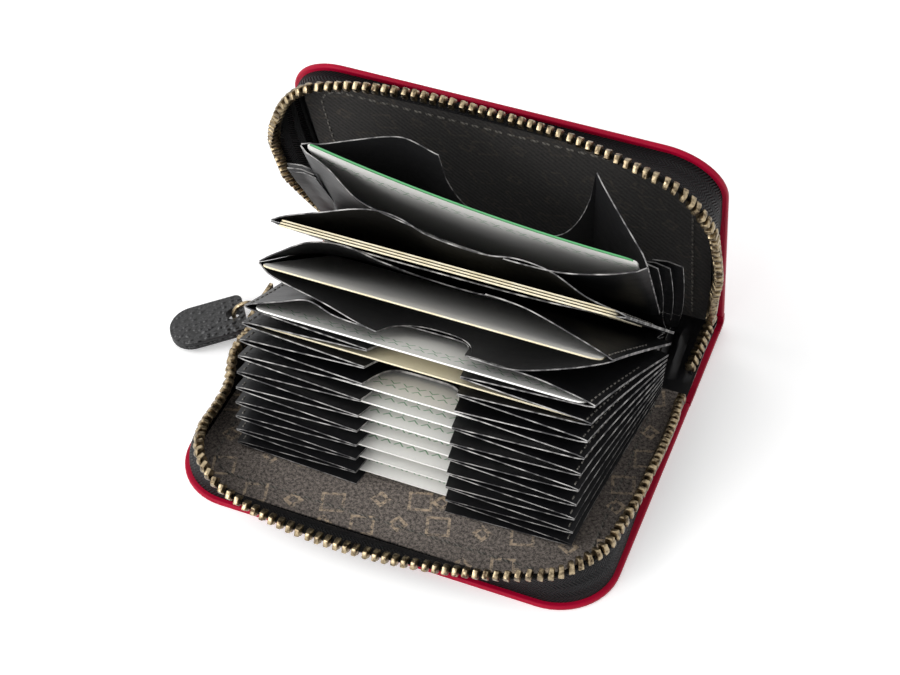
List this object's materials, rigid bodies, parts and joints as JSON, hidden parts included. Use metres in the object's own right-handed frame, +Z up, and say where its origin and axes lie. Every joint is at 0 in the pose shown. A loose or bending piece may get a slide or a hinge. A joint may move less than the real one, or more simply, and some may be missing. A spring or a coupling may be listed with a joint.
{
  "type": "zip card holder",
  "caption": "Zip-round leather card case lying open, with a fan of thin card pockets on a bellows spine, cards in them, brass zip teeth and a leather pull tab.",
  "frame": {"origin": "on the surface the case lies on, under the middle of the bottom cover", "axes": "+Z up, X along the spine, +Y from the front edge to the spine"},
  "size_m": [0.1434, 0.1166, 0.0841],
  "materials": {
    "red_leather": "smooth, semi-gloss crimson",
    "board": "grey board",
    "lining": "dark taupe woven lining, printed",
    "zip_tape": "black herringbone zip tape",
    "aged_brass": "aged, satin",
    "pocket_sheet": "thin near-black leatherette",
    "card": "white card stock",
    "pull_leather": "pebbled black leather"
  },
  "bodies": {
    "base": {"bottom_cover": "red_leather", "bottom_board": "board", "bottom_lining": "lining", "bottom_zip_tape": "zip_tape", "bottom_zip_teeth": "aged_brass", "bottom_zip_stop": "aged_brass", "pocket_01_lower_wall": "pocket_sheet", "pocket_01_upper_wall": "pocket_sheet"},
    "spine": {"spine_cover": "red_leather", "spine_lining": "lining", "spine_fold": "red_leather", "spine_gusset_left": "pocket_sheet", "spine_gusset_right": "pocket_sheet", "pocket_bellows": "pocket_sheet"},
    "top_cover": {"top_cover": "red_leather", "top_board": "board", "top_lining": "lining", "top_zip_tape": "zip_tape", "top_zip_teeth": "aged_brass", "top_zip_stop": "aged_brass"},
    "pocket_02": {"pocket_02_lower_wall": "pocket_sheet", "pocket_02_upper_wall": "pocket_sheet"},
    "pocket_03": {"pocket_03_lower_wall": "pocket_sheet", "pocket_03_upper_wall": "pocket_sheet"},
    "pocket_04": {"pocket_04_lower_wall": "pocket_sheet", "pocket_04_upper_wall": "pocket_sheet"},
    "pocket_05": {"pocket_05_lower_wall": "pocket_sheet", "pocket_05_upper_wall": "pocket_sheet"},
    "pocket_06": {"pocket_06_lower_wall": "pocket_sheet", "pocket_06_upper_wall": "pocket_sheet"},
    "pocket_07": {"pocket_07_lower_wall": "pocket_sheet", "pocket_07_upper_wall": "pocket_sheet"},
    "pocket_08": {"pocket_08_lower_wall": "pocket_sheet", "pocket_08_upper_wall": "pocket_sheet"},
    "pocket_09": {"pocket_09_lower_wall": "pocket_sheet", "pocket_09_upper_wall": "pocket_sheet"},
    "pocket_10": {"pocket_10_lower_wall": "pocket_sheet", "pocket_10_upper_wall": "pocket_sheet"},
    "pocket_11": {"pocket_11_lower_wall": "pocket_sheet", "pocket_11_upper_wall": "pocket_sheet"},
    "pocket_12": {"pocket_12_lower_wall": "pocket_sheet", "pocket_12_upper_wall": "pocket_sheet"},
    "pocket_13": {"pocket_13_lower_wall": "pocket_sheet", "pocket_13_upper_wall": "pocket_sheet"},
    "card_01": {"card_01": "card"},
    "card_02": {"card_02": "card"},
    "card_03": {"card_03": "card"},
    "card_04": {"card_04": "card"},
    "card_05": {"card_05": "card"},
    "card_06": {"card_06": "card"},
    "card_07": {"card_07": "card"},
    "card_09": {"card_09": "card"},
    "card_10": {"card_10": "card"},
    "card_11": {"card_11": "card"},
    "card_12": {"card_12": "card"},
    "card_13": {"card_13": "card"},
    "slider": {"zip_slider": "aged_brass"},
    "pull_ring": {"pull_ring": "aged_brass"},
    "pull_tab": {"pull_tab": "pull_leather"}
  },
  "joints": [
    {"name": "case_fold", "type": "hinge", "parent": "base", "child": "spine", "pos_m": [0, 0.0395, 0.0015], "axis": [-1, 0, 0], "range_deg": [-88, 2], "deforming": ["pocket_bellows"]},
    {"name": "cover_fold", "type": "hinge", "parent": "spine", "child": "top_cover", "pos_m": [0, 0.06748, 0.00248], "axis": [-1, 0, 0], "range_deg": [-0.5, 16.1]},
    {"name": "pocket_02_fold", "type": "hinge", "parent": "spine", "child": "pocket_02", "pos_m": [0, 0.03965, 0.00114], "axis": [-1, 0, 0], "range_deg": [-2.02, 84.65]},
    {"name": "pocket_03_fold", "type": "hinge", "parent": "spine", "child": "pocket_03", "pos_m": [0, 0.03976, 0.00071], "axis": [-1, 0, 0], "range_deg": [-1.94, 81.2]},
    {"name": "pocket_04_fold", "type": "hinge", "parent": "spine", "child": "pocket_04", "pos_m": [0, 0.03981, 0.00019], "axis": [-1, 0, 0], "range_deg": [-1.86, 77.75]},
    {"name": "pocket_05_fold", "type": "hinge", "parent": "spine", "child": "pocket_05", "pos_m": [0, 0.03981, -0.00041], "axis": [-1, 0, 0], "range_deg": [-1.79, 74.3]},
    {"name": "pocket_06_fold", "type": "hinge", "parent": "spine", "child": "pocket_06", "pos_m": [0, 0.03974, -0.00111], "axis": [-1, 0, 0], "range_deg": [-1.71, 70.85]},
    {"name": "pocket_07_fold", "type": "hinge", "parent": "spine", "child": "pocket_07", "pos_m": [0, 0.03959, -0.00193], "axis": [-1, 0, 0], "range_deg": [-1.63, 67.4]},
    {"name": "pocket_08_fold", "type": "hinge", "parent": "spine", "child": "pocket_08", "pos_m": [0, 0.03935, -0.00287], "axis": [-1, 0, 0], "range_deg": [-1.55, 63.95]},
    {"name": "pocket_09_fold", "type": "hinge", "parent": "spine", "child": "pocket_09", "pos_m": [0, 0.03901, -0.00396], "axis": [-1, 0, 0], "range_deg": [-1.47, 60.5]},
    {"name": "pocket_10_fold", "type": "hinge", "parent": "spine", "child": "pocket_10", "pos_m": [0, 0.03855, -0.00521], "axis": [-1, 0, 0], "range_deg": [-1.39, 57.05]},
    {"name": "pocket_11_fold", "type": "hinge", "parent": "spine", "child": "pocket_11", "pos_m": [0, 0.03556, -0.00662], "axis": [-1, 0, 0], "range_deg": [-1.2, 48.6]},
    {"name": "pocket_12_fold", "type": "hinge", "parent": "spine", "child": "pocket_12", "pos_m": [0, 0.03161, -0.0087], "axis": [-1, 0, 0], "range_deg": [-1.03, 40.85]},
    {"name": "pocket_13_fold", "type": "hinge", "parent": "spine", "child": "pocket_13", "pos_m": [0, 0.02236, -0.01228], "axis": [-1, 0, 0], "range_deg": [-0.79, 30.4]},
    {"name": "card_01_slide", "type": "slide", "parent": "base", "child": "card_01", "axis": [0, -0.9997, 0.0262], "range_m": [-0.0025, 0.014]},
    {"name": "card_02_slide", "type": "slide", "parent": "pocket_02", "child": "card_02", "axis": [0, -0.9966, 0.0819], "range_m": [-0.002, 0.015]},
    {"name": "card_03_slide", "type": "slide", "parent": "pocket_03", "child": "card_03", "axis": [0, -0.9905, 0.1374], "range_m": [-0.0025, 0.047]},
    {"name": "card_04_slide", "type": "slide", "parent": "pocket_04", "child": "card_04", "axis": [0, -0.9813, 0.1925], "range_m": [-0.0015, 0.048]},
    {"name": "card_05_slide", "type": "slide", "parent": "pocket_05", "child": "card_05", "axis": [0, -0.969, 0.247], "range_m": [-0.0025, 0.047]},
    {"name": "card_06_slide", "type": "slide", "parent": "pocket_06", "child": "card_06", "axis": [0, -0.9537, 0.3007], "range_m": [-0.002, 0.0475]},
    {"name": "card_07_slide", "type": "slide", "parent": "pocket_07", "child": "card_07", "axis": [0, -0.9354, 0.3535], "range_m": [-0.0025, 0.047]},
    {"name": "card_09_slide", "type": "slide", "parent": "pocket_09", "child": "card_09", "axis": [0, -0.8902, 0.4555], "range_m": [-0.0035, 0.046]},
    {"name": "card_10_slide", "type": "slide", "parent": "pocket_10", "child": "card_10", "axis": [0, -0.8634, 0.5045], "range_m": [-0.0045, 0.045]},
    {"name": "card_11_slide", "type": "slide", "parent": "pocket_11", "child": "card_11", "axis": [0, -0.7826, 0.6225], "range_m": [-0.0085, 0.041]},
    {"name": "card_12_slide", "type": "slide", "parent": "pocket_12", "child": "card_12", "axis": [0, -0.6947, 0.7193], "range_m": [-0.0055, 0.044]},
    {"name": "card_13_slide", "type": "slide", "parent": "pocket_13", "child": "card_13", "axis": [0, -0.5563, 0.831], "range_m": [-0.0075, 0.042]},
    {"name": "slider_run", "type": "slide", "parent": "base", "child": "slider", "axis": [0, -0.9642, 0.2652], "range_m": [0, 0.014]},
    {"name": "ring_swing", "type": "hinge", "parent": "slider", "child": "pull_ring", "pos_m": [-0.06165, 0.0215, 0.00562], "axis": [0, 1, 0], "range_deg": [-1, 40]},
    {"name": "tab_flop", "type": "hinge", "parent": "pull_ring", "child": "pull_tab", "pos_m": [-0.06634, 0.01821, 0.00472], "axis": [-0.5736, 0.8192, 0], "range_deg": [-0.5, 20]}
  ],
  "couplings": [
    {"joint": "cover_fold", "follows": "case_fold", "ratio": -0.18182},
    {"joint": "pocket_02_fold", "follows": "case_fold", "ratio": -0.96079},
    {"joint": "pocket_03_fold", "follows": "case_fold", "ratio": -0.92159},
    {"joint": "pocket_04_fold", "follows": "case_fold", "ratio": -0.88239},
    {"joint": "pocket_05_fold", "follows": "case_fold", "ratio": -0.84318},
    {"joint": "pocket_06_fold", "follows": "case_fold", "ratio": -0.80398},
    {"joint": "pocket_07_fold", "follows": "case_fold", "ratio": -0.76477},
    {"joint": "pocket_08_fold", "follows": "case_fold", "ratio": -0.72557},
    {"joint": "pocket_09_fold", "follows": "case_fold", "ratio": -0.68636},
    {"joint": "pocket_10_fold", "follows": "case_fold", "ratio": -0.64716},
    {"joint": "pocket_11_fold", "follows": "case_fold", "ratio": -0.55114},
    {"joint": "pocket_12_fold", "follows": "case_fold", "ratio": -0.46307},
    {"joint": "pocket_13_fold", "follows": "case_fold", "ratio": -0.34432}
  ]
}
